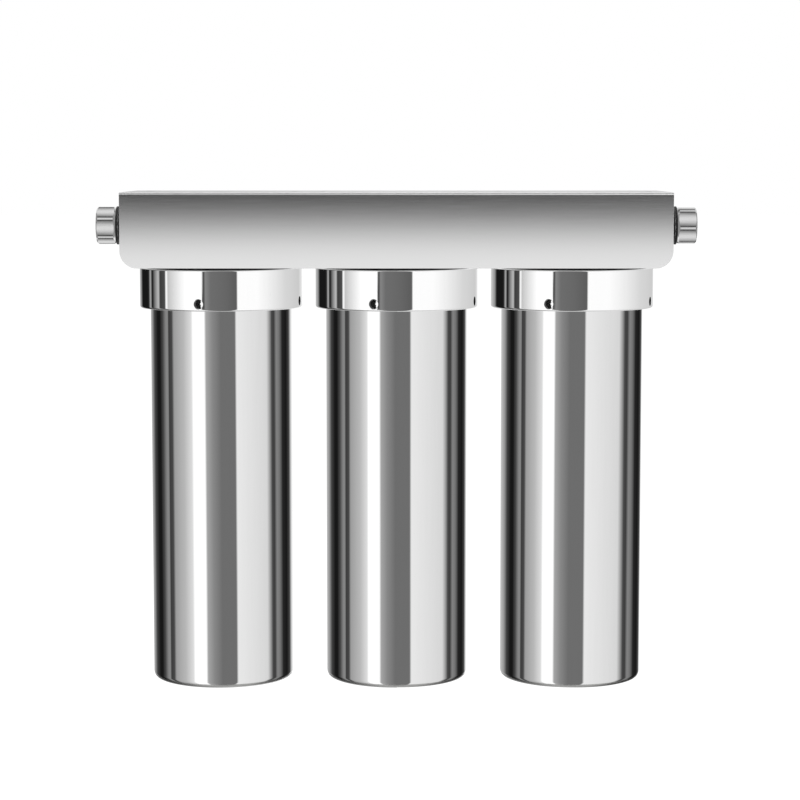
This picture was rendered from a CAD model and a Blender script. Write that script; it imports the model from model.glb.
"""The looks of a three-stage stainless steel water purifier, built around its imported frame."""

import math

import bmesh
import bpy
from mathutils import Matrix, Vector


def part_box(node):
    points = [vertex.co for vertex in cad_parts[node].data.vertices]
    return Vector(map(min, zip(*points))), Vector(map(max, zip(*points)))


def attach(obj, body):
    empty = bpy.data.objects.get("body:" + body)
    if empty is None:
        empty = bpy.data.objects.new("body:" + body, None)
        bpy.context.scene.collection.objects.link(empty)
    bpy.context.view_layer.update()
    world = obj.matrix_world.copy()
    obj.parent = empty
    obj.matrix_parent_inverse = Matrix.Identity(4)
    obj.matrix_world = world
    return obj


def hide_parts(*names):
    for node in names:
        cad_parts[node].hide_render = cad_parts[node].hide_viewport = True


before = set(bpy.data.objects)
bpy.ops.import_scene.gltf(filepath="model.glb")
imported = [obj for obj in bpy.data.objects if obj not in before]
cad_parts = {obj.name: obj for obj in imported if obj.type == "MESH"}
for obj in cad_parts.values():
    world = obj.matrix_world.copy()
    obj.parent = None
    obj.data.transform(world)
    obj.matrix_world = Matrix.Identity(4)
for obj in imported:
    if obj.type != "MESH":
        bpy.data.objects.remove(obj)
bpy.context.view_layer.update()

# Places taken from the frame
stage_numbers = (1, 2, 3)
bracket_low, bracket_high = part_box("bracket")
can_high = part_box("canister_2")[1]
ring_low, ring_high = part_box("lock_ring_2")
head_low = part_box("filter_head_2")[0]
head_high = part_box("head_manifold_2")[1]
seal_low, seal_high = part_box("head_seal_2")
cap_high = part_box("carbon_top_cap")[1]
foot_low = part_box("carbon_bottom_cap")[0]
block_low, block_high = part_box("carbon_block")
core_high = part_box("carbon_core")[1]
fibre_low, fibre_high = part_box("membrane_fibres")
adapter_low, adapter_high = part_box("outlet_adapter")
port_seal_low, port_seal_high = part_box("outlet_adapter_seal")
spigot_seal_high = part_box("spigot_oring_2_upper")[1]


def middle_x(node):
    low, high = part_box(node)
    return (low.x + high.x) / 2


stage_places = [middle_x(f"canister_{number}") for number in stage_numbers]
stage_spacing = stage_places[1] - stage_places[0]

# Sizes of the metal pieces
can_wall = 0.0010
can_flange_width = 0.0030
can_corner_radius = 0.0045
flange_radius = can_high.x
can_radius = flange_radius - can_flange_width
ring_radius = ring_high.x
ring_wall = 0.0037
ring_inner_radius = ring_radius - ring_wall
ring_lip_clearance = 0.0005
ring_lip_radius = can_radius + ring_lip_clearance
ring_lip_height = 0.0100
ring_lip_top = ring_low.z + ring_lip_height
ring_thread_pitch = 0.0030
ring_thread_depth = 0.0005
ring_thread_margin = 0.0005
spanner_hole_radius = 0.0033
spanner_hole_depth = 0.0045
spanner_hole_rim = 0.0003
spanner_hole_lit_share = 0.15
spanner_hole_count = 4
first_spanner_hole_turn = math.radians(12)
spanner_hole_turn_step = math.radians(4)
sheet = 0.0015
bend_radius = 0.0020
bracket_corner_radius = 0.0120
edge_rounding = 0.0007
keyhole_radius = 0.0045
keyhole_slot_radius = 0.0025
keyhole_slot_length = 0.0100
keyhole_height = 0.0200
screw_head_radius = 0.0035
screw_shank_radius = 0.0019
screw_hole_clearance = 0.0006
screw_length = 0.0120
screw_point = 0.0020
recess_length = 0.0042
recess_width = 0.0008
recess_depth = 0.0011
hex_length = 0.0135
hex_flats = 0.0250
hex_chamfer = 0.0026
hex_crown_radius = 0.0280
hex_crown_turn = math.radians(10)
hex_turns = {"inlet": math.radians(22.5), "outlet": math.radians(7.5)}
socket_radius = 0.0093
socket_depth = 0.0110
socket_thread_pitch = 0.0018
socket_thread_depth = 0.0008
socket_mouth_rim = 0.0008
passage_radius = 0.0065

# Sizes of the plastic and rubber pieces
fit_gap = 0.0003
cut_overrun = 0.0010
skirt_radius = ring_inner_radius - fit_gap
skirt_wall = 0.0060
skirt_shoulder = 0.0030
head_thread_foot = 0.0010
head_thread_top_gap = 0.0035
head_seal_width = 0.0040
head_plate_top = 0.3010
head_ceiling = 0.2960
tower_radius = 0.0200
socket_mouth = 0.2840
plug_socket_radius = 0.0098
plug_socket_wall = 0.0045
port_height = (port_seal_low.z + port_seal_high.z) / 2
port_radius = (port_seal_high.z - port_seal_low.z) / 2
port_bore_radius = 0.0105
port_bore_depth = 0.0150
port_mouth_rim = 0.0005
column_place = 0.0300
column_radius = 0.0080
column_bore_radius = 0.0050
boss_radius = 0.0060
boss_x = 0.0525
boss_y = 0.0160
spigot_radius = 0.0092
spigot_bore_radius = 0.0045
cap_rim_wall = 0.0012
cap_rim_depth = 0.0060
cap_thickness = 0.0040
cartridge_radius = block_high.x
cartridge_length = cap_high.z - foot_low.z
core_radius = core_high.x
cap_dish_share = 0.6
cap_dish_depth = 0.0012
oring_section = 0.0018
core_wall = 0.0017
core_slot = (4, 0.0030, 0.0300)
winding_pitch = 0.0120
winding_depth = 0.0004
net_pitch = 0.0080
net_depth = 0.0002
net_turns = 12
membrane_wall = 0.0020
membrane_slot = (3, 0.0080, 0.0420)
fibre_radius = 0.0011
fibre_spacing = 2.06
fibre_ring_shares = (1, 0.925)
fibre_lean_share = 0.6
fibre_waves = 7
fibre_core_share = 0.9
fibre_sides = 10

# Rounding of edges
knife_edge = 0.0001
screw_head_edge = 0.00015
crisp_edge = 0.0002
thin_edge = 0.0003
plain_edge = 0.0004
eased_edge = 0.0005
soft_edge = 0.0006
round_edge = 0.0008
cap_edge = 0.0010
wide_edge = 0.0012
foot_edge = 0.0015
edge_segments = 3
edge_angle = math.radians(50)
round_profile = 0.5

# Fineness
fine_steps = 192
plain_steps = 96
small_steps = 48
arc_steps = 5
weld = 0.000005
smooth_angle = math.radians(32)


# Outlines

def filleted(corners, closed=True):
    """Points of an outline from (across, up, fillet) corners, with each fillet drawn as an arc."""
    points = []
    count = len(corners)
    for index, (x, z, radius) in enumerate(corners):
        here = Vector((x, z))
        at_end = not closed and index in (0, count - 1)
        if radius == 0 or at_end:
            points.append(here)
            continue
        before = Vector(corners[index - 1][:2]) - here
        after = Vector(corners[(index + 1) % count][:2]) - here
        before.normalize()
        after.normalize()
        half = before.angle(after) / 2
        centre = here + (before + after).normalized() * (radius / math.sin(half))
        start = here + before * (radius / math.tan(half)) - centre
        turn = start.angle_signed(here + after * (radius / math.tan(half)) - centre)
        for step in range(arc_steps + 1):
            arm = start.copy()
            arm.rotate(Matrix.Rotation(-turn * step / arc_steps, 2))
            points.append(centre + arm)
    return [(point.x, point.y) for point in points]


def tube(outer, inner, low, high, fillet):
    places = ((outer, high), (outer, low), (inner, low), (inner, high))
    return filleted([(*place, fillet) for place in places])


def rows_between(radius, start, end, rows):
    """Points up or down one wall, so that a thread can be shaped into it."""
    return [(radius, start + (end - start) * row / rows) for row in range(1, rows)]


# Meshes

def finished(name, shape):
    """A mesh from a bmesh, welded, with its faces pointing out and its round faces smooth."""
    bmesh.ops.remove_doubles(shape, verts=shape.verts, dist=weld)
    bmesh.ops.recalc_face_normals(shape, faces=shape.faces)
    mesh = bpy.data.meshes.new(name)
    shape.to_mesh(mesh)
    shape.free()
    smooth(mesh)
    return mesh


def smooth(mesh):
    mesh.shade_smooth()
    mesh.set_sharp_from_angle(angle=smooth_angle)


def turned_mesh(name, outline, steps, closed=True):
    """A mesh turned about Z from (radius, height) points."""
    shape = bmesh.new()
    points = [shape.verts.new((radius, 0, height)) for radius, height in outline]
    pairs = list(zip(points, points[1:]))
    if closed:
        pairs.append((points[-1], points[0]))
    edges = [shape.edges.new(pair) for pair in pairs]
    bmesh.ops.spin(
        shape, geom=points + edges, cent=(0, 0, 0), axis=(0, 0, 1), angle=math.tau, steps=steps,
        use_merge=True)
    return finished(name, shape)


def prism_mesh(name, outline, low, high):
    """A flat outline in X and Y, drawn up from one height to another."""
    shape = bmesh.new()
    floor = shape.faces.new([shape.verts.new((x, y, low)) for x, y in outline])
    walls = bmesh.ops.extrude_face_region(shape, geom=[floor])
    lifted = [item for item in walls["geom"] if isinstance(item, bmesh.types.BMVert)]
    bmesh.ops.translate(shape, verts=lifted, vec=(0, 0, high - low))
    return finished(name, shape)


def oring_mesh():
    """An O-ring for a cartridge's spigot."""
    half = oring_section / 2
    points = []
    for step in range(2 * arc_steps):
        angle = math.tau * step / (2 * arc_steps)
        points.append((spigot_seal_high.x - half + half * math.cos(angle), half * math.sin(angle)))
    return turned_mesh("oring", points, plain_steps)


def reshape(mesh, rule):
    """Moves each vertex out or in by rule(radius, angle, height)."""
    for vertex in mesh.vertices:
        radius = math.hypot(vertex.co.x, vertex.co.y)
        if radius < weld:
            continue
        share = 1 + rule(radius, math.atan2(vertex.co.y, vertex.co.x), vertex.co.z) / radius
        vertex.co.x *= share
        vertex.co.y *= share
    mesh.update()


def thread_rule(wall_radius, low, high, pitch, depth):
    """A screw thread cut into one wall: full in the middle, run out at both ends."""
    def rule(radius, angle, height):
        if abs(radius - wall_radius) > weld or not low < height < high:
            return 0
        fade = min(1, (height - low) / pitch, (high - height) / pitch)
        return depth * fade * (1 / 2 - 1 / 2 * math.cos(math.tau * height / pitch - angle))
    return rule


# Pieces

def add_piece(name, mesh, material, place=None):
    piece = bpy.data.objects.new(name, mesh)
    mesh.materials.append(material)
    if place is not None:
        piece.matrix_world = place
    bpy.context.scene.collection.objects.link(piece)
    bpy.context.view_layer.update()
    return piece


def apply_changes(piece):
    """Makes the piece's modifiers permanent."""
    bpy.context.view_layer.update()
    graph = bpy.context.evaluated_depsgraph_get()
    mesh = bpy.data.meshes.new_from_object(piece.evaluated_get(graph))
    piece.modifiers.clear()
    piece.data = mesh


def carve(piece, mesh, place, operation="DIFFERENCE"):
    """Cuts a solid out of a piece, joins it on, or keeps only what is inside it."""
    tool = add_piece("tool", mesh, piece.data.materials[0], place)
    change = piece.modifiers.new(operation.lower(), "BOOLEAN")
    change.operation = operation
    change.solver = "MANIFOLD"
    change.object = tool
    apply_changes(piece)
    smooth(piece.data)
    bpy.data.objects.remove(tool)


def carve_turned(piece, outline, place, steps=small_steps, operation="DIFFERENCE"):
    carve(piece, turned_mesh("tool", outline, steps, closed=False), place, operation)


def place_piece(piece, body, nodes):
    """Hangs a piece on its body, in place of the frame's nodes. Metal shows the studio, not the piece."""
    evenly = piece.modifiers.new("even normals", "WEIGHTED_NORMAL")
    evenly.keep_sharp = True
    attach(piece, body)
    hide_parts(*nodes)
    piece.visible_glossy = False


def build_piece(name, mesh, material, place, body, node):
    place_piece(add_piece(name, mesh, material, place), body, [node])


def move(x=0, y=0, z=0):
    return Matrix.Translation((x, y, z))


# Materials

noise_low = 0.3
noise_high = 0.7


def noise(tree, scale, stretch=(1, 1, 1), detail=3.0):
    """Noise over the piece's own coordinates, stretched along each axis."""
    mapping = tree.nodes.new("ShaderNodeMapping")
    mapping.inputs["Scale"].default_value = stretch
    tree.links.new(tree.nodes.new("ShaderNodeTexCoord").outputs["Object"], mapping.inputs["Vector"])
    texture = tree.nodes.new("ShaderNodeTexNoise")
    texture.inputs["Scale"].default_value = scale
    texture.inputs["Detail"].default_value = detail
    tree.links.new(mapping.outputs["Vector"], texture.inputs["Vector"])
    return texture.outputs["Fac"]


def spread(tree, low, high, *grain):
    """A value from low to high over a noise's middle range."""
    node = tree.nodes.new("ShaderNodeMapRange")
    ends = {"From Min": noise_low, "From Max": noise_high, "To Min": low, "To Max": high}
    for socket, value in ends.items():
        node.inputs[socket].default_value = value
    tree.links.new(noise(tree, *grain), node.inputs["Value"])
    return node.outputs["Result"]


def surface(name, colour, roughness, metallic=0.0, rough=None, tint=None, bump=None, **more):
    """A Principled material with noise in its roughness, its tint and its relief.

    rough and tint give low, high and the noise's scale, stretch and detail. bump gives depth, strength
    and the same three. Stretch and detail can be left out.
    """
    material = bpy.data.materials.new(name)
    material.use_nodes = True
    tree = material.node_tree
    shader = tree.nodes["Principled BSDF"]
    values = {"Base Color": (*colour, 1), "Roughness": roughness, "Metallic": metallic}
    values.update({key.replace("_", " ").title(): value for key, value in more.items()})
    for socket, value in values.items():
        shader.inputs[socket].default_value = value
    if rough:
        tree.links.new(spread(tree, *rough), shader.inputs["Roughness"])
    if tint:
        low, high, *grain = tint
        mix = tree.nodes.new("ShaderNodeMix")
        mix.data_type = "RGBA"
        mix.inputs["A"].default_value = (*(low * part for part in colour), 1)
        mix.inputs["B"].default_value = (*(min(1, high * part) for part in colour), 1)
        tree.links.new(spread(tree, 0, 1, *grain), mix.inputs["Factor"])
        tree.links.new(mix.outputs["Result"], shader.inputs["Base Color"])
    if bump:
        depth, strength, *grain = bump
        relief = tree.nodes.new("ShaderNodeBump")
        relief.inputs["Strength"].default_value = strength
        relief.inputs["Distance"].default_value = depth
        tree.links.new(noise(tree, *grain), relief.inputs["Height"])
        tree.links.new(relief.outputs["Normal"], shader.inputs["Normal"])
    return material


def polished_steel(name, streak_depth):
    """Steel polished to a mirror: faint upright drawing marks and a trace of haze."""
    return surface(
        name, (0.90, 0.90, 0.90), 0.04, 1.0, rough=(0.012, 0.03, 220, (1, 1, 0.05)),
        tint=(0.985, 1.0, 400, (1, 1, 0.04)), bump=(streak_depth, 1, 55, (1, 1, 0.08), 1.0))


def drawn_steel():
    """The unpolished inside of a deep-drawn can."""
    return surface(
        "drawn_steel", (0.55, 0.55, 0.54), 0.34, 1.0, rough=(0.28, 0.42, 500, (1, 1, 0.03)),
        bump=(0.00004, 1, 900, (1, 1, 0.03)))


def brushed_steel():
    """Satin sheet, brushed along the row."""
    grain = (4200, (0.008, 1, 1), 2.0)
    material = surface(
        "brushed_steel", (0.82, 0.82, 0.82), 0.20, 1.0, rough=(0.19, 0.23, *grain),
        tint=(0.975, 1.01, *grain), bump=(0.000001, 0.5, *grain), anisotropic=0.4)
    tree = material.node_tree
    tangent = tree.nodes.new("ShaderNodeTangent")
    tangent.direction_type = "RADIAL"
    tangent.axis = "X"
    tree.links.new(tangent.outputs["Tangent"], tree.nodes["Principled BSDF"].inputs["Tangent"])
    return material


def machined_steel():
    """Turned and milled bar: satin, with fine marks round the water line."""
    grain = (1800, (1, 0.2, 0.2))
    return surface(
        "machined_steel", (0.86, 0.86, 0.86), 0.12, 1.0, rough=(0.10, 0.14, *grain), tint=(0.96, 1.0, *grain),
        bump=(0.00001, 0.5, *grain))


def shaded_steel():
    """Steel deep in a small hole, where little light comes in."""
    return surface("shaded_steel", (0.02, 0.02, 0.02), 0.5, 1.0, rough=(0.4, 0.6, 3000))


def screw_steel():
    return surface(
        "screw_steel", (0.42, 0.42, 0.42), 0.25, 1.0, rough=(0.2, 0.32, 3000), bump=(0.00002, 1, 4000))


def moulded_plastic(name, colour, roughness, grain_depth):
    """Injection-moulded plastic: a fine spark-eroded grain and slow changes in gloss."""
    return surface(
        name, colour, roughness, rough=(roughness - 0.06, roughness + 0.06, 60), tint=(0.95, 1.0, 25),
        bump=(grain_depth, 1, 2500))


def rubber():
    return surface(
        "black_rubber", (0.022, 0.022, 0.022), 0.62, rough=(0.55, 0.72, 400), bump=(0.00003, 1, 1600))


def melt_blown_fibre():
    """White fibre wound on in crossing bands, with a soft nap."""
    return surface(
        "melt_blown_fibre", (0.88, 0.88, 0.85), 0.92, tint=(0.90, 1.0, 180),
        bump=(0.0003, 1, 1500, (1, 1, 0.3), 6.0), sheen_weight=0.3, sheen_roughness=0.5)


def pressed_carbon():
    even = (1, 1, 1)
    return surface(
        "pressed_carbon", (0.035, 0.035, 0.037), 0.8, rough=(0.6, 0.95, 900), tint=(0.6, 1.6, 700, even, 5.0),
        bump=(0.0003, 1, 900, even, 6.0))


def cast_resin():
    return surface("cast_resin", (0.80, 0.72, 0.50), 0.3, rough=(0.22, 0.36, 120), tint=(0.92, 1.0, 80))


def hollow_fibre():
    """A bundle of fine white tubes, upright."""
    grain = (2200, (1, 1, 0.01))
    return surface(
        "hollow_fibre", (0.90, 0.90, 0.88), 0.55, tint=(0.86, 1.0, *grain), bump=(0.0002, 1, *grain))


# Bracket

def arc(centre_y, centre_z, radius, start, end, steps):
    """Points of an arc, from one angle in degrees to another."""
    angles = [math.radians(start + (end - start) * step / steps) for step in range(steps + 1)]
    return [(centre_y + radius * math.cos(angle), centre_z + radius * math.sin(angle)) for angle in angles]


def bracket_mesh():
    """The sheet's outer surface, folded up the front, over the top and down the back."""
    side = bracket_high.y
    fold = [(-side, bracket_low.z)]
    fold += arc(-side + bend_radius, bracket_high.z - bend_radius, bend_radius, 180, 90, 2 * arc_steps)
    fold += arc(side - bend_radius, bracket_high.z - bend_radius, bend_radius, 90, 0, 2 * arc_steps)
    fold.append((side, bracket_low.z))
    shape = bmesh.new()
    rows = []
    for y, z in fold:
        rows.append((shape.verts.new((bracket_low.x, y, z)), shape.verts.new((bracket_high.x, y, z))))
    for (left, right), (next_left, next_right) in zip(rows, rows[1:]):
        shape.faces.new((left, right, next_right, next_left))
    corners = [vert for vert in shape.verts if vert.co.z < bracket_low.z + weld]
    bmesh.ops.bevel(
        shape, geom=corners, affect="VERTICES", offset=bracket_corner_radius, offset_type="OFFSET",
        segments=4 * arc_steps, profile=round_profile)
    mesh = bpy.data.meshes.new("bracket_sheet")
    shape.to_mesh(mesh)
    shape.free()
    return mesh


def keyhole_mesh():
    """A round hole for a wall screw's head, with a narrow slot above it for its shank."""
    neck = math.degrees(math.asin(keyhole_slot_radius / keyhole_radius))
    outline = arc(0, 0, keyhole_radius, 90 + neck, 450 - neck, small_steps)
    outline += arc(0, keyhole_slot_length, keyhole_slot_radius, 0, 180, small_steps // 2)
    return prism_mesh("keyhole", outline, -sheet - cut_overrun, sheet + cut_overrun)


def build_bracket(material):
    piece = add_piece("bracket_sheet", bracket_mesh(), material)
    thicken = piece.modifiers.new("sheet", "SOLIDIFY")
    thicken.thickness = sheet
    thicken.offset = -1
    thicken.use_even_offset = True
    apply_changes(piece)
    countersink = [
        (0, cut_overrun),
        (screw_head_radius + screw_hole_clearance, cut_overrun),
        (screw_head_radius + screw_hole_clearance, 0),
        (screw_shank_radius + screw_hole_clearance, -sheet - fit_gap),
        (screw_shank_radius + screw_hole_clearance, -2 * sheet),
        (0, -2 * sheet),
    ]
    for x in stage_places:
        for side in (-1, 1):
            carve_turned(piece, countersink, move(x + side * boss_x, -side * boss_y, bracket_high.z))
    for side in (-1, 1):
        place = move(side * stage_spacing / 2, bracket_high.y, bracket_low.z + keyhole_height)
        carve(piece, keyhole_mesh(), place @ Matrix.Rotation(math.pi / 2, 4, "X"))
    edges = piece.modifiers.new("rounded edges", "BEVEL")
    edges.width = edge_rounding
    edges.segments = edge_segments
    edges.limit_method = "ANGLE"
    edges.angle_limit = edge_angle
    edges.use_clamp_overlap = True
    apply_changes(piece)
    smooth(piece.data)
    place_piece(piece, "root", ["bracket"])


def build_screws(material):
    outline = filleted([
        (0, 0, 0),
        (screw_head_radius, 0, screw_head_edge),
        (screw_shank_radius, -sheet, crisp_edge),
        (screw_shank_radius, -screw_length - sheet + screw_point, thin_edge),
        (0, -screw_length - sheet, 0),
    ], closed=False)
    arm = recess_length / 2
    half = recess_width / 2
    cross = [
        (arm, -half), (arm, half), (half, half), (half, arm), (-half, arm), (-half, half),
        (-arm, half), (-arm, -half), (-half, -half), (-half, -arm), (half, -arm), (half, -half),
    ]
    for index in range(2 * len(stage_numbers)):
        side = -1 if index % 2 == 0 else 1
        place = move(
            stage_places[index // 2] + side * boss_x, -side * boss_y,
            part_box(f"bracket_screw_{index + 1}")[1].z)
        mesh = turned_mesh("screw", outline, small_steps, closed=False)
        piece = add_piece(f"countersunk_screw_{index + 1}", mesh, material, place)
        carve(piece, prism_mesh("recess", cross, -recess_depth, cut_overrun), place)
        place_piece(piece, "root", [f"bracket_screw_{index + 1}"])


# Canisters and lock rings

def build_canisters(outside, inside):
    inner = can_radius - can_wall
    height = can_high.z
    outline = filleted([
        (0, can_wall, 0),
        (inner, can_wall, can_corner_radius - can_wall),
        (inner, height, soft_edge),
        (flange_radius, height, thin_edge),
        (flange_radius, height - can_wall, thin_edge),
        (can_radius, height - can_wall, plain_edge),
        (can_radius, 0, can_corner_radius),
        (0, 0, 0),
    ], closed=False)
    for number, x in zip(stage_numbers, stage_places):
        mesh = turned_mesh(f"canister_shell_{number}", outline, fine_steps, closed=False)
        piece = add_piece(f"canister_shell_{number}", mesh, outside, move(x))
        mesh.materials.append(inside)
        for face in mesh.polygons:
            reach = math.hypot(face.center.x, face.center.y)
            is_floor = face.center.z > can_wall / 2 and face.normal.z > 1 / 2
            face.material_index = int(reach < inner + can_wall / 2 and (is_floor or face.center.z > can_wall))
        place_piece(piece, f"canister_{number}", [f"canister_{number}"])


def build_rings(material, shade):
    thread_low = ring_lip_top + ring_thread_margin
    thread_high = ring_high.z - ring_thread_margin
    outline = filleted([
        (ring_inner_radius, ring_high.z, thin_edge),
        (ring_radius, ring_high.z, soft_edge),
        (ring_radius, ring_low.z, foot_edge),
        (ring_lip_radius, ring_low.z, thin_edge),
        (ring_lip_radius, ring_lip_top, crisp_edge),
        (ring_inner_radius, ring_lip_top, crisp_edge),
    ])
    outline += rows_between(ring_inner_radius, thread_low, thread_high, small_steps)
    hole_place = ring_low.z + (ring_lip_top - ring_low.z) / 2
    hole_outline = [
        (0, ring_radius + cut_overrun),
        (spanner_hole_radius + spanner_hole_rim + cut_overrun, ring_radius + cut_overrun),
        (spanner_hole_radius, ring_radius - spanner_hole_rim),
        (spanner_hole_radius, ring_radius - spanner_hole_depth),
        (spanner_hole_radius / 2, ring_radius - spanner_hole_depth),
        (0, ring_radius - spanner_hole_depth),
    ]
    cut = thread_rule(ring_inner_radius, thread_low, thread_high, ring_thread_pitch, ring_thread_depth)
    for number, x in zip(stage_numbers, stage_places):
        mesh = turned_mesh(f"ring_{number}", outline, fine_steps)
        reshape(mesh, cut)
        place = move(x)
        piece = add_piece(f"ring_{number}", mesh, material, place)
        hole_turn = first_spanner_hole_turn + (number - 1) * spanner_hole_turn_step
        for hole in range(spanner_hole_count):
            turn = -math.pi / 2 - hole_turn + math.tau * hole / spanner_hole_count
            outward = Matrix.Rotation(turn, 4, "Z") @ Matrix.Rotation(math.pi / 2, 4, "Y")
            outward = move(z=hole_place) @ outward
            carve_turned(piece, hole_outline, place @ outward)
            shade_hole(piece.data, shade, outward)
        place_piece(piece, f"lock_ring_{number}", [f"lock_ring_{number}"])


def shade_hole(mesh, shade, outward):
    """A hole's wall and most of its floor lie in shade; the light reaches the floor's right-hand side."""
    if shade.name not in mesh.materials:
        mesh.materials.append(shade)
    dark = mesh.materials.find(shade.name)
    own = outward.inverted()
    for face in mesh.polygons:
        centre = own @ face.center
        off_axis = math.hypot(centre.x, centre.y)
        is_inside = off_axis < spanner_hole_radius + weld and centre.z < ring_radius - spanner_hole_rim
        if is_inside and centre.z > 0:
            is_floor = centre.z < ring_radius - spanner_hole_depth + 10 * weld
            is_lit = is_floor and centre.y > spanner_hole_lit_share * spanner_hole_radius
            face.material_index = 0 if is_lit else dark


# Filter heads

def own_frame(x, outward):
    """A place on the water line: its own Z points outwards along the row, its own X to the front."""
    own_z = Vector((outward, 0, 0))
    own_x = Vector((0, -1, 0))
    turn = Matrix((own_x, own_z.cross(own_x), own_z)).transposed().to_4x4()
    return move(x, 0, port_height) @ turn


def head_outline():
    """A skirt around a recess, a socket in the middle and a tower up to the bracket."""
    thread_low = head_low.z + head_thread_foot
    thread_high = head_plate_top - head_thread_top_gap
    recess = skirt_radius - skirt_wall
    socket_outer = plug_socket_radius + plug_socket_wall
    socket_top = port_height + passage_radius + fit_gap
    points = filleted([
        (0, head_high.z, 0),
        (tower_radius, head_high.z, eased_edge),
        (tower_radius, head_plate_top, foot_edge),
        (skirt_radius - skirt_shoulder, head_plate_top, round_edge),
        (skirt_radius, head_plate_top - skirt_shoulder, plain_edge),
        (skirt_radius, head_low.z, plain_edge),
        (recess, head_low.z, plain_edge),
        (recess, head_ceiling, wide_edge),
        (socket_outer, head_ceiling, wide_edge),
        (socket_outer, socket_mouth, eased_edge),
        (plug_socket_radius, socket_mouth, round_edge),
        (plug_socket_radius, socket_top, eased_edge),
        (0, socket_top, 0),
    ], closed=False)
    split = next(index for index, point in enumerate(points) if point[1] < thread_low)
    rows = rows_between(skirt_radius, thread_high, thread_low, small_steps)
    return points[:split] + rows + points[split:], thread_low, thread_high


def rod(radius, low, high):
    corners = [(0, high, 0), (radius, high, plain_edge), (radius, low, plain_edge), (0, low, 0)]
    return filleted(corners, closed=False)


def port_bore(length):
    return [
        (0, cut_overrun),
        (port_bore_radius + port_mouth_rim + cut_overrun, cut_overrun),
        (port_bore_radius, -port_mouth_rim),
        (port_bore_radius, -port_bore_depth),
        (passage_radius, -port_bore_depth),
        (passage_radius, -length),
        (0, -length),
    ]


def build_heads(material):
    outline, thread_low, thread_high = head_outline()
    boss = filleted([
        (0, head_high.z - screw_length - fit_gap, 0),
        (screw_shank_radius + fit_gap, head_high.z - screw_length - fit_gap, crisp_edge),
        (screw_shank_radius + fit_gap, head_high.z, plain_edge),
        (boss_radius, head_high.z, plain_edge),
        (boss_radius, port_height - boss_radius, round_edge),
        (0, port_height - boss_radius, 0),
    ], closed=False)
    cut = thread_rule(skirt_radius, thread_low, thread_high, ring_thread_pitch, -ring_thread_depth)
    for number, x in zip(stage_numbers, stage_places):
        low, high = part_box(f"head_manifold_{number}")
        left = low.x - x
        right = high.x - x
        mesh = turned_mesh(f"head_{number}", outline, fine_steps, closed=False)
        reshape(mesh, cut)
        piece = add_piece(f"head_{number}", mesh, material, move(x))

        carve_turned(piece, rod(port_radius, 0, right - left), own_frame(x + left, 1), plain_steps, "UNION")
        column = rod(column_radius, (head_ceiling + head_plate_top) / 2, port_height)
        carve_turned(piece, column, move(x - column_place), operation="UNION")
        for side in (-1, 1):
            carve_turned(piece, boss, move(x + side * boss_x, -side * boss_y), operation="UNION")

        inlet = port_bore(-left - column_place + column_bore_radius + fit_gap)
        carve_turned(piece, inlet, own_frame(x + left, -1), plain_steps)
        carve_turned(piece, port_bore(right), own_frame(x + right, 1), plain_steps)
        drop = rod(column_bore_radius, head_ceiling - cut_overrun, port_height)
        carve_turned(piece, drop, move(x - column_place))
        place_piece(piece, "root", [f"filter_head_{number}", f"head_manifold_{number}"])


def build_head_seals(material):
    outline = tube(seal_high.x, seal_high.x - head_seal_width, seal_low.z, seal_high.z, round_edge)
    for number, x in zip(stage_numbers, stage_places):
        name = f"flat_seal_{number}"
        mesh = turned_mesh(name, outline, plain_steps)
        build_piece(name, mesh, material, move(x), "root", f"head_seal_{number}")


# Water line

def hexagon_outline():
    """Six slightly crowned sides that run into one another over wide rounded corners."""
    half_side = math.pi / 6
    crown_centre = hex_flats / 2 - hex_crown_radius
    end_x = crown_centre + hex_crown_radius * math.cos(hex_crown_turn)
    end_y = hex_crown_radius * math.sin(hex_crown_turn)
    slope = math.tan(half_side)
    corner_radius = (end_x * slope - end_y) / (math.cos(hex_crown_turn) * slope - math.sin(hex_crown_turn))
    corner_x = end_x - corner_radius * math.cos(hex_crown_turn)
    corner_y = end_y - corner_radius * math.sin(hex_crown_turn)
    turn = math.degrees(hex_crown_turn)
    side_points = arc(crown_centre, 0, hex_crown_radius, -turn, turn, 2 * arc_steps)
    last_turn = math.degrees(2 * half_side) - turn
    side_points += arc(corner_x, corner_y, corner_radius, turn, last_turn, 2 * arc_steps)[1:-1]
    points = []
    for side in range(6):
        facing = Matrix.Rotation(half_side + side * 2 * half_side, 2)
        points += [tuple(facing @ Vector(point)) for point in side_points]
    return points


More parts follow.
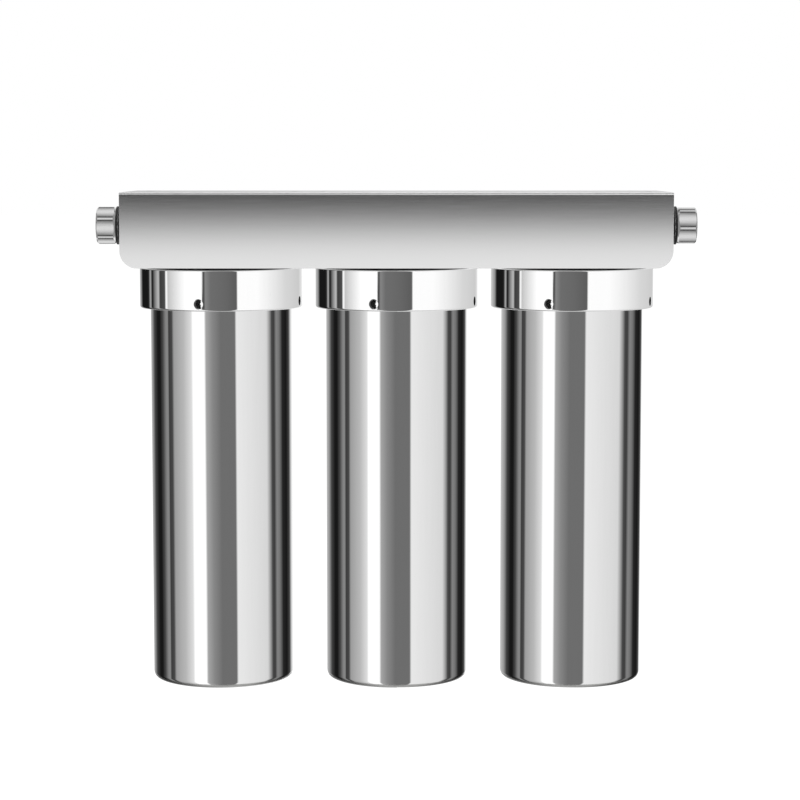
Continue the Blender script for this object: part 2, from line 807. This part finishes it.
def build_adapters(material, rubber_material):
    spigot_length = adapter_high.x - hex_length - adapter_low.x
    corner = hex_flats / 2 / math.cos(math.pi / 6)
    envelope = filleted([
        (0, hex_length, 0),
        (corner - hex_chamfer, hex_length, plain_edge),
        (corner + cut_overrun, hex_length - hex_chamfer - cut_overrun, 0),
        (corner + cut_overrun, hex_chamfer + cut_overrun, 0),
        (corner - hex_chamfer, 0, plain_edge),
        (0, 0, 0),
    ], closed=False)
    thread_high = hex_length - socket_mouth_rim
    bore = [
        (0, hex_length + cut_overrun),
        (socket_radius + socket_mouth_rim + cut_overrun, hex_length + cut_overrun),
        (socket_radius, thread_high),
        *rows_between(socket_radius, thread_high, hex_length - socket_depth, 2 * small_steps),
        (socket_radius, hex_length - socket_depth),
        (passage_radius, hex_length - socket_depth),
        (passage_radius, -spigot_length - cut_overrun),
        (0, -spigot_length - cut_overrun),
    ]
    cut = thread_rule(
        socket_radius, hex_length - socket_depth, thread_high, socket_thread_pitch, socket_thread_depth)
    spigot = rod(port_bore_radius - fit_gap, -spigot_length, hex_chamfer)
    gasket_outline = tube(
        port_radius, port_bore_radius + fit_gap, 0, port_seal_high.x - port_seal_low.x, plain_edge)
    for word, side in (("inlet", -1), ("outlet", 1)):
        place = own_frame(side * (adapter_high.x - hex_length), side)
        place = place @ Matrix.Rotation(hex_turns[word], 4, "Z")
        mesh = prism_mesh(f"{word}_hexagon", hexagon_outline(), 0, hex_length)
        piece = add_piece(f"{word}_hexagon", mesh, material, place)
        carve_turned(piece, envelope, place, 2 * plain_steps, "INTERSECT")
        carve_turned(piece, spigot, place, plain_steps, "UNION")
        thread = turned_mesh("thread", bore, plain_steps, closed=False)
        reshape(thread, cut)
        carve(piece, thread, place)
        place_piece(piece, "root", [f"{word}_adapter"])

        gasket = turned_mesh(f"{word}_gasket", gasket_outline, plain_steps)
        build_piece(
            f"{word}_gasket", gasket, rubber_material, own_frame(side * port_seal_low.x, side), "root",
            f"{word}_adapter_seal")


# Cartridges

def cap_top_outline():
    """A cap over a cartridge's upper end, with a spigot that carries two O-rings."""
    top = cap_high.z
    shoulder = foot_low.z + cartridge_length
    seals = [(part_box(f"spigot_oring_2_{word}")[0].z + oring_section / 2) for word in ("upper", "lower")]
    groove = spigot_seal_high.x - oring_section - fit_gap
    half = oring_section / 2 + fit_gap
    corners = [(spigot_bore_radius, top, thin_edge), (spigot_radius, top, plain_edge)]
    for height in seals:
        corners += [
            (spigot_radius, height + half, knife_edge),
            (groove, height + half, crisp_edge),
            (groove, height - half, crisp_edge),
            (spigot_radius, height - half, knife_edge),
        ]
    rim = cap_high.x - cap_rim_wall
    under = shoulder - cap_thickness
    corners += [
        (spigot_radius, shoulder, wide_edge),
        (cap_high.x, shoulder, cap_edge),
        (cap_high.x, under - cap_rim_depth, thin_edge),
        (rim, under - cap_rim_depth, thin_edge),
        (rim, under, knife_edge),
        (spigot_bore_radius, under, crisp_edge),
    ]
    return filleted(corners)


def cap_bottom_outline():
    rim = cap_high.x - cap_rim_wall
    floor = foot_low.z + cap_thickness
    dish = cap_dish_share * cap_high.x
    return filleted([
        (0, floor, 0),
        (rim, floor, knife_edge),
        (rim, floor + cap_rim_depth, thin_edge),
        (cap_high.x, floor + cap_rim_depth, thin_edge),
        (cap_high.x, foot_low.z, cap_edge),
        (dish, foot_low.z, plain_edge),
        (dish - cap_dish_depth, foot_low.z + cap_dish_depth, plain_edge),
        (0, foot_low.z + cap_dish_depth, 0),
    ], closed=False)


def build_caps(kind, number, plastic, rubber_material):
    x = stage_places[number - 1]
    body = f"cartridge_{number}"
    for word, outline in (("top", cap_top_outline()), ("bottom", cap_bottom_outline())):
        name = f"{kind}_{word}_end"
        mesh = turned_mesh(name, outline, fine_steps, closed=word == "top")
        build_piece(name, mesh, plastic, move(x), body, f"{kind}_{word}_cap")
    for word in ("upper", "lower"):
        node = f"spigot_oring_{number}_{word}"
        low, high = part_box(node)
        place = move(x, 0, (low.z + high.z) / 2)
        name = f"spigot_seal_{number}_{word}"
        build_piece(name, oring_mesh(), rubber_material, place, body, node)


def cut_slots(piece, low, high, slots, reach, x):
    """Cuts upright slots with round ends through a tube: along X in one row, along Y in the next."""
    rows, width, length = slots
    pitch = (high - low) / rows
    straight = length / 2 - width / 2
    outline = arc(0, straight, width / 2, 0, 180, small_steps // 2)
    outline += arc(0, -straight, width / 2, 180, 360, small_steps // 2)
    for row in range(rows):
        upright = Matrix.Rotation(row % 2 * math.pi / 2, 4, "Z") @ Matrix.Rotation(math.pi / 2, 4, "X")
        place = move(x, 0, low + pitch * (row + 1 / 2)) @ upright
        carve(piece, prism_mesh("slot", outline, -reach, reach), place)


def build_media(node, name, kind, number, material, swell, plastic):
    """A thick tube of filter media around its slotted core."""
    x = stage_places[number - 1]
    low, high = block_low.z, block_high.z
    body = f"cartridge_{number}"
    points = filleted([
        (core_radius + fit_gap, high, crisp_edge),
        (cartridge_radius, high, soft_edge),
    ], closed=False)
    points += rows_between(cartridge_radius, low, high, 4 * small_steps)[::-1]
    points += [(cartridge_radius, low), (core_radius + fit_gap, low)]
    mesh = turned_mesh(name, points, fine_steps)
    reshape(mesh, swell)
    build_piece(name, mesh, material, move(x), body, node)

    mesh = turned_mesh("core", tube(core_radius, core_radius - core_wall, low, high, crisp_edge), plain_steps)
    core = add_piece(f"{kind}_slotted_core", mesh, plastic, move(x))
    cut_slots(core, low, high, core_slot, core_radius + cut_overrun, x)
    place_piece(core, body, [f"{kind}_core"])


def build_cartridges(plastic, rubber_material, fibre, carbon, resin, membrane):
    for number, kind in zip(stage_numbers, ("sediment", "carbon", "membrane")):
        build_caps(kind, number, plastic, rubber_material)

    def wound(radius, angle, height):
        """Two sets of crossing windings on the outer face."""
        if abs(radius - cartridge_radius) > weld or not block_low.z < height < block_high.z:
            return 0
        turns = math.tau * height / winding_pitch
        crossing = math.cos(turns - 2 * angle) + math.cos(turns + 2 * angle)
        return -winding_depth * (1 - crossing / 2)

    def pressed(radius, angle, height):
        """The shallow net pattern that a carbon block's sleeve leaves."""
        if abs(radius - cartridge_radius) > weld or not block_low.z < height < block_high.z:
            return 0
        half = math.pi * height / net_pitch
        return -net_depth * (1 - abs(math.cos(half - net_turns * angle) * math.cos(half + net_turns * angle)))

    build_media("sediment_media", "wound_fibre", "sediment", 1, fibre, wound, plastic)
    build_media("carbon_block", "pressed_block", "carbon", 2, carbon, pressed, plastic)
    build_membrane(plastic, resin, membrane)


def build_membrane(plastic, resin, membrane):
    """A slotted shell with a bundle of hollow fibres, and resin that holds the fibres' upper ends."""
    x = stage_places[2]
    body = "cartridge_3"
    low, high = block_low.z, block_high.z
    potting_low, potting_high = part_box("membrane_potting")
    outline = tube(cartridge_radius, cartridge_radius - membrane_wall, low, high, thin_edge)
    shell = add_piece("slotted_shell", turned_mesh("shell", outline, plain_steps), plastic, move(x))
    cut_slots(shell, low + cap_rim_depth, potting_low.z, membrane_slot, cartridge_radius + cut_overrun, x)
    place_piece(shell, body, ["membrane_shell"])

    outline = rod(potting_high.x - x, potting_low.z, potting_high.z)
    plug = turned_mesh("plug", outline, plain_steps, closed=False)
    build_piece("potting_plug", plug, resin, move(x), body, "membrane_potting")

    shape = bmesh.new()
    reach = fibre_high.x - x - fibre_radius
    count = int(math.tau * reach / (fibre_spacing * fibre_radius))
    rods = [(0, 0, fibre_core_share * reach, small_steps)]
    for ring, share in enumerate(fibre_ring_shares):
        for index in range(count):
            angle = math.tau * (index + ring / 2) / count
            lean = abs(fibre_lean_share * fibre_radius * math.sin(fibre_waves * angle))
            arm = share * (reach - lean)
            rods.append((arm * math.cos(angle), arm * math.sin(angle), fibre_radius, fibre_sides))
    for rod_x, rod_y, radius, sides in rods:
        bmesh.ops.create_cone(
            shape, cap_ends=True, segments=sides, radius1=radius, radius2=radius,
            depth=fibre_high.z - fibre_low.z, matrix=move(rod_x, rod_y, (fibre_low.z + fibre_high.z) / 2))
    mesh = bpy.data.meshes.new("fibre_bundle")
    shape.to_mesh(mesh)
    shape.free()
    smooth(mesh)
    build_piece("fibre_bundle", mesh, membrane, move(x), body, "membrane_fibres")


def dress_node(node, material):
    """Gives one of the frame's own nodes a finished material."""
    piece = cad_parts[node]
    piece.data.materials.clear()
    piece.data.materials.append(material)
    piece.visible_glossy = False


# Studio

room_reach = 1.75
room_half_height = 2.20
card_reach = 1.70
card_step = 0.01
canister_middle_light = 0.70
ring_middle_light = 0.15
side_middle_light = 0.15
canister_light = [
    (-180, 0.7), (-147, 0.35), (-134, 0.06), (-121, 0.01), (-113, 0.01), (-105, 0.07), (-97, 0.26),
    (-93, 0.26), (-91, 0.05), (-84, 0.07), (-80, 0.37), (-62, 0.53), (-49, 0.8), (-46, 1.15), (-28, 1.15),
    (-25, 0.42), (-15, 0.27), (-2, 0.17), (21, 0.17), (24, 0.9), (80, 0.75), (92, 0.07), (98, 0.05),
    (104, 0.25), (111, 0.2), (121, 0.02), (135, 0.01), (148, 0.06), (162, 0.8), (180, 1.1),
]
ring_light = [
    (-180, 0.8), (-149, 0.35), (-140, 0.01), (-120, 0.01), (-116, 0.03), (-113, 0.38), (-111, 0.38),
    (-109, 0.02), (-106, 0.02), (-103, 0.15), (-94, 0.55), (-91, 0.05), (-82, 0.08), (-80, 1.05),
    (-78, 1.0), (-77, 0.6), (-62, 0.9), (-50, 1.15), (-27, 1.15), (-25, 0.08), (-24, 0.08), (-22, 0.26),
    (-15, 0.17), (5, 0.15), (21, 0.12), (23, 1.1), (52, 1.1), (106, 0.75), (148, 0.65), (162, 0.8),
    (180, 1.05),
]
side_light = [
    (-180, 0.75), (-140, 0.4), (-120, 0.03), (-60, 0.03), (-30, 0), (30, 0), (60, 0.1), (100, 0.5),
    (180, 0.75),
]
plate_light_y = -0.171
plate_light_half = 0.45
plate_light = [
    (0.14, 0.55), (0.250, 0.95), (0.265, 0.99), (0.30, 0.97), (0.3085, 0.89), (0.3225, 0.455),
    (0.332, 0.19), (0.3438, 0.02), (0.37, 0.01),
]
lip_light = [(0.38, 0.0), (0.385, 1.4), (0.45, 1.4)]
lip_left_share = 0.0
ceiling_gap = 0.65
ceiling_light = 1.0
nut_end_light = 0.30
nut_light_middle = 0.43
nut_light_swing = 0.39
nut_light_bands = 6
nut_light_turn = math.radians(16.6)
card_turn = 3
floor_radius = 30
floor_height = -0.31
floor_white = 0.85
floor_lift = 0.40
soft_light = 0.75
seen_light = 1.0
lamp_size = 1.6
lamp_power = 28
lamp_place = Vector((-0.5, -1.1, 2.0))
camera_place = (0.00245, -1.74017, 0.36801)
camera_tilt = math.radians(90 - 5.55)
camera_lens = 110.2
camera_sensor = 36
camera_reach = (0.01, 200)


def empty_tree(owner):
    """The node tree of a material or of the world, with nothing in it."""
    owner.use_nodes = True
    owner.node_tree.nodes.clear()
    return owner.node_tree


def fed_node(tree, kind, *sources):
    """A new node whose first inputs take these nodes' first outputs."""
    node = tree.nodes.new(kind)
    for socket, source in zip(node.inputs, sources):
        tree.links.new(source.outputs[0], socket)
    return node


def card_light():
    """Plain light whose strength is painted along the card. It adds to what is behind the card."""
    material = bpy.data.materials.new("card_light")
    tree = empty_tree(material)
    level = tree.nodes.new("ShaderNodeAttribute")
    level.attribute_name = "level"
    light = tree.nodes.new("ShaderNodeEmission")
    tree.links.new(level.outputs["Fac"], light.inputs["Strength"])
    both = fed_node(tree, "ShaderNodeAddShader", tree.nodes.new("ShaderNodeBsdfTransparent"), light)
    fed_node(tree, "ShaderNodeOutputMaterial", both)
    return material


def black_cloth():
    material = bpy.data.materials.new("black_cloth")
    tree = empty_tree(material)
    cloth = tree.nodes.new("ShaderNodeBsdfDiffuse")
    cloth.inputs["Color"].default_value = (0, 0, 0, 1)
    fed_node(tree, "ShaderNodeOutputMaterial", cloth)
    return material


def add_card(name, corners, faces, material):
    """Part of the studio that only shows in polished metal."""
    mesh = bpy.data.meshes.new(name)
    mesh.from_pydata(corners, [], faces)
    mesh.materials.append(material)
    card = bpy.data.objects.new(name, mesh)
    bpy.context.scene.collection.objects.link(card)
    card.visible_camera = False
    card.visible_diffuse = False
    card.visible_transmission = False
    card.visible_shadow = False
    return card


def add_lit_card(name, stops, material, pieces):
    """A card through pairs of corners, each pair with a level, that lights these pieces alone."""
    corners, levels = [], []
    for left, right, left_level, right_level in stops:
        corners += [left, right]
        levels += [left_level, right_level]
    faces = [(at, at + 1, at + 3, at + 2) for at in range(0, len(corners) - 2, 2)]
    card = add_card(name, corners, faces, material)
    values = card.data.attributes.new("level", "FLOAT", "POINT")
    values.data.foreach_set("value", levels)
    only = bpy.data.collections.new(f"pieces of {name}")
    for piece in pieces:
        only.objects.link(piece)
    card.light_linking.receiver_collection = only


def add_round_light(name, stops, middle_level, reach, material, pieces):
    """Lit cards round, over and under the pieces, from (azimuth, level) stops; azimuth 0 is the front."""
    walls, grounds, ceilings = [], [], []
    height = room_half_height - (room_reach - reach)
    for (start, start_level), (end, end_level) in zip(stops, stops[1:]):
        steps = max(1, round((end - start) / card_turn))
        for step in range(steps + 1):
            share = step / steps
            azimuth = math.radians(start + (end - start) * share)
            x, y = reach * math.sin(azimuth), -reach * math.cos(azimuth)
            level = start_level + (end_level - start_level) * share
            low, high = (x, y, -height), (x, y, height)
            walls.append((low, high, level, level))
            grounds.append(((0, 0, -height), low, middle_level, level))
            ceilings.append(((0, 0, height), high, middle_level, level))
    for word, lines in (("walls", walls), ("ground", grounds), ("ceiling", ceilings)):
        add_lit_card(f"{name}_{word}", lines, material, pieces)


def flat_stops(stops, half_width, left_share=1):
    """Level lines along the row of stages, from (y, z, level) stops."""
    return [((-half_width, y, z), (half_width, y, z), left_share * level, level) for y, z, level in stops]


def add_studio():
    """A black room round the object, with clear lit cards in it: a set for each kind of metal piece."""
    pieces = [piece for piece in bpy.data.objects if piece.type == "MESH"]
    high, wide = room_half_height + cut_overrun, room_reach + cut_overrun
    plan = ((-wide, -wide), (wide, -wide), (wide, wide), (-wide, wide))
    corners = [(x, y, z) for z in (-high, high) for x, y in plan]
    sides = [(0, 1, 2, 3), (4, 5, 6, 7), (0, 1, 5, 4), (1, 2, 6, 5), (2, 3, 7, 6), (3, 0, 4, 7)]
    add_card("black_room", corners, sides, black_cloth())

    canisters = [piece for piece in pieces if piece.name.startswith("canister_shell")]
    rings = [piece for piece in pieces if piece.name.startswith("ring_")]
    nuts = [piece for piece in pieces if piece.name.endswith("_hexagon")]
    others = [piece for piece in pieces if piece not in canisters + rings + nuts]
    light = card_light()
    add_round_light("canister_light", canister_light, canister_middle_light, card_reach, light, canisters)
    add_round_light("ring_light", ring_light, ring_middle_light, card_reach + card_step, light, rings)
    add_round_light("side_light", side_light, side_middle_light, card_reach - card_step, light, others)
    for word, x in (("inlet", -room_reach), ("outlet", room_reach)):
        lines = [
            ((x, y, -room_half_height), (x, y, room_half_height), nut_end_light, nut_end_light)
            for y in (-room_reach, room_reach)
        ]
        add_lit_card(f"{word}_end_light", lines, light, nuts)
    for name, side in (("front_light", -1), ("back_light", 1)):
        height = room_half_height - card_step
        stops = [(side * y, height, ceiling_light) for y in (room_reach, ceiling_gap)]
        add_lit_card(name, flat_stops(stops, room_reach), light, others)
    bands = []
    reach = card_reach - 2 * card_step
    for elevation in range(0, 361, card_turn):
        angle = math.radians(elevation)
        wave = math.cos(nut_light_bands * (angle + nut_light_turn))
        level = nut_light_middle + nut_light_swing * wave
        bands.append((-reach * math.cos(angle), port_height + reach * math.sin(angle), level))
    add_lit_card("nut_light", flat_stops(bands, room_reach), light, nuts)
    sheet_piece = [bpy.data.objects["bracket_sheet"]]
    for name, levels, share in (("plate_light", plate_light, 1), ("lip_light", lip_light, lip_left_share)):
        stops = [(plate_light_y, height, level) for height, level in levels]
        add_lit_card(name, flat_stops(stops, plate_light_half, share), light, sheet_piece)


def add_floor():
    """A wide pale disc under the lowest place of the canisters. It reads white, and keeps the shadow."""
    shape = bmesh.new()
    bmesh.ops.create_circle(shape, cap_ends=True, segments=fine_steps, radius=floor_radius)
    mesh = bpy.data.meshes.new("floor")
    shape.to_mesh(mesh)
    shape.free()
    material = bpy.data.materials.new("pale_floor")
    tree = empty_tree(material)
    paint = tree.nodes.new("ShaderNodeBsdfDiffuse")
    paint.inputs["Color"].default_value = (floor_white, floor_white, floor_white, 1)
    rays = tree.nodes.new("ShaderNodeLightPath")
    strength = tree.nodes.new("ShaderNodeMath")
    strength.operation = "MULTIPLY"
    strength.inputs[1].default_value = floor_lift
    tree.links.new(rays.outputs["Is Camera Ray"], strength.inputs[0])
    lift = tree.nodes.new("ShaderNodeEmission")
    tree.links.new(strength.outputs["Value"], lift.inputs["Strength"])
    fed_node(tree, "ShaderNodeOutputMaterial", fed_node(tree, "ShaderNodeAddShader", paint, lift))
    mesh.materials.append(material)
    floor = bpy.data.objects.new("floor", mesh)
    floor.location.z = floor_height
    bpy.context.scene.collection.objects.link(floor)
    floor.visible_glossy = False


def add_world():
    """White where the camera, a mirror or glass sees it, and soft light for everything else."""
    world = bpy.data.worlds.new("studio")
    bpy.context.scene.world = world
    tree = empty_tree(world)
    rays = tree.nodes.new("ShaderNodeLightPath")
    seen = rays.outputs["Is Camera Ray"]
    for kind in ("Is Glossy Ray", "Is Transmission Ray"):
        either = tree.nodes.new("ShaderNodeMath")
        either.operation = "ADD"
        either.use_clamp = True
        tree.links.new(seen, either.inputs[0])
        tree.links.new(rays.outputs[kind], either.inputs[1])
        seen = either.outputs["Value"]
    mix = tree.nodes.new("ShaderNodeMixShader")
    tree.links.new(seen, mix.inputs["Fac"])
    for place, strength in ((1, soft_light), (2, seen_light)):
        background = tree.nodes.new("ShaderNodeBackground")
        background.inputs["Color"].default_value = (1, 1, 1, 1)
        background.inputs["Strength"].default_value = strength
        tree.links.new(background.outputs["Background"], mix.inputs[place])
    fed_node(tree, "ShaderNodeOutputWorld", mix)


def add_lamp():
    """A large soft lamp above and a little in front, which polished metal doesn't show."""
    data = bpy.data.lights.new("soft_lamp", "AREA")
    data.shape = "DISK"
    data.size = lamp_size
    data.energy = lamp_power
    lamp = bpy.data.objects.new("soft_lamp", data)
    aim = (-lamp_place).to_track_quat("-Z", "Y").to_matrix().to_4x4()
    lamp.matrix_world = Matrix.Translation(lamp_place) @ aim
    lamp.visible_glossy = False
    bpy.context.scene.collection.objects.link(lamp)


def add_camera():
    data = bpy.data.cameras.new("camera")
    data.sensor_width = camera_sensor
    data.lens = camera_lens
    data.clip_start, data.clip_end = camera_reach
    camera = bpy.data.objects.new("camera", data)
    camera.location = camera_place
    camera.rotation_euler = (camera_tilt, 0, 0)
    bpy.context.scene.collection.objects.link(camera)
    bpy.context.scene.camera = camera


# The whole scene

mirror = polished_steel("polished_canister", 0.00002)
ring_mirror = polished_steel("polished_ring", 0.00001)
black_plastic = moulded_plastic("black_plastic", (0.020, 0.020, 0.021), 0.42, 0.00003)
white_plastic = moulded_plastic("white_plastic", (0.80, 0.80, 0.78), 0.36, 0.00002)
black_rubber = rubber()

build_bracket(brushed_steel())
build_screws(screw_steel())
build_canisters(mirror, drawn_steel())
build_rings(ring_mirror, shaded_steel())
build_heads(black_plastic)
build_head_seals(black_rubber)
build_adapters(machined_steel(), black_rubber)
build_cartridges(
    white_plastic, black_rubber, melt_blown_fibre(), pressed_carbon(), cast_resin(), hollow_fibre())
for number in (1, 2):
    dress_node(f"nipple_{number}", white_plastic)
    for word in ("left", "right"):
        dress_node(f"nipple_oring_{number}_{word}", black_rubber)

add_studio()
add_floor()
add_world()
add_lamp()
add_camera()

scene = bpy.context.scene
scene.view_settings.view_transform = "Standard"
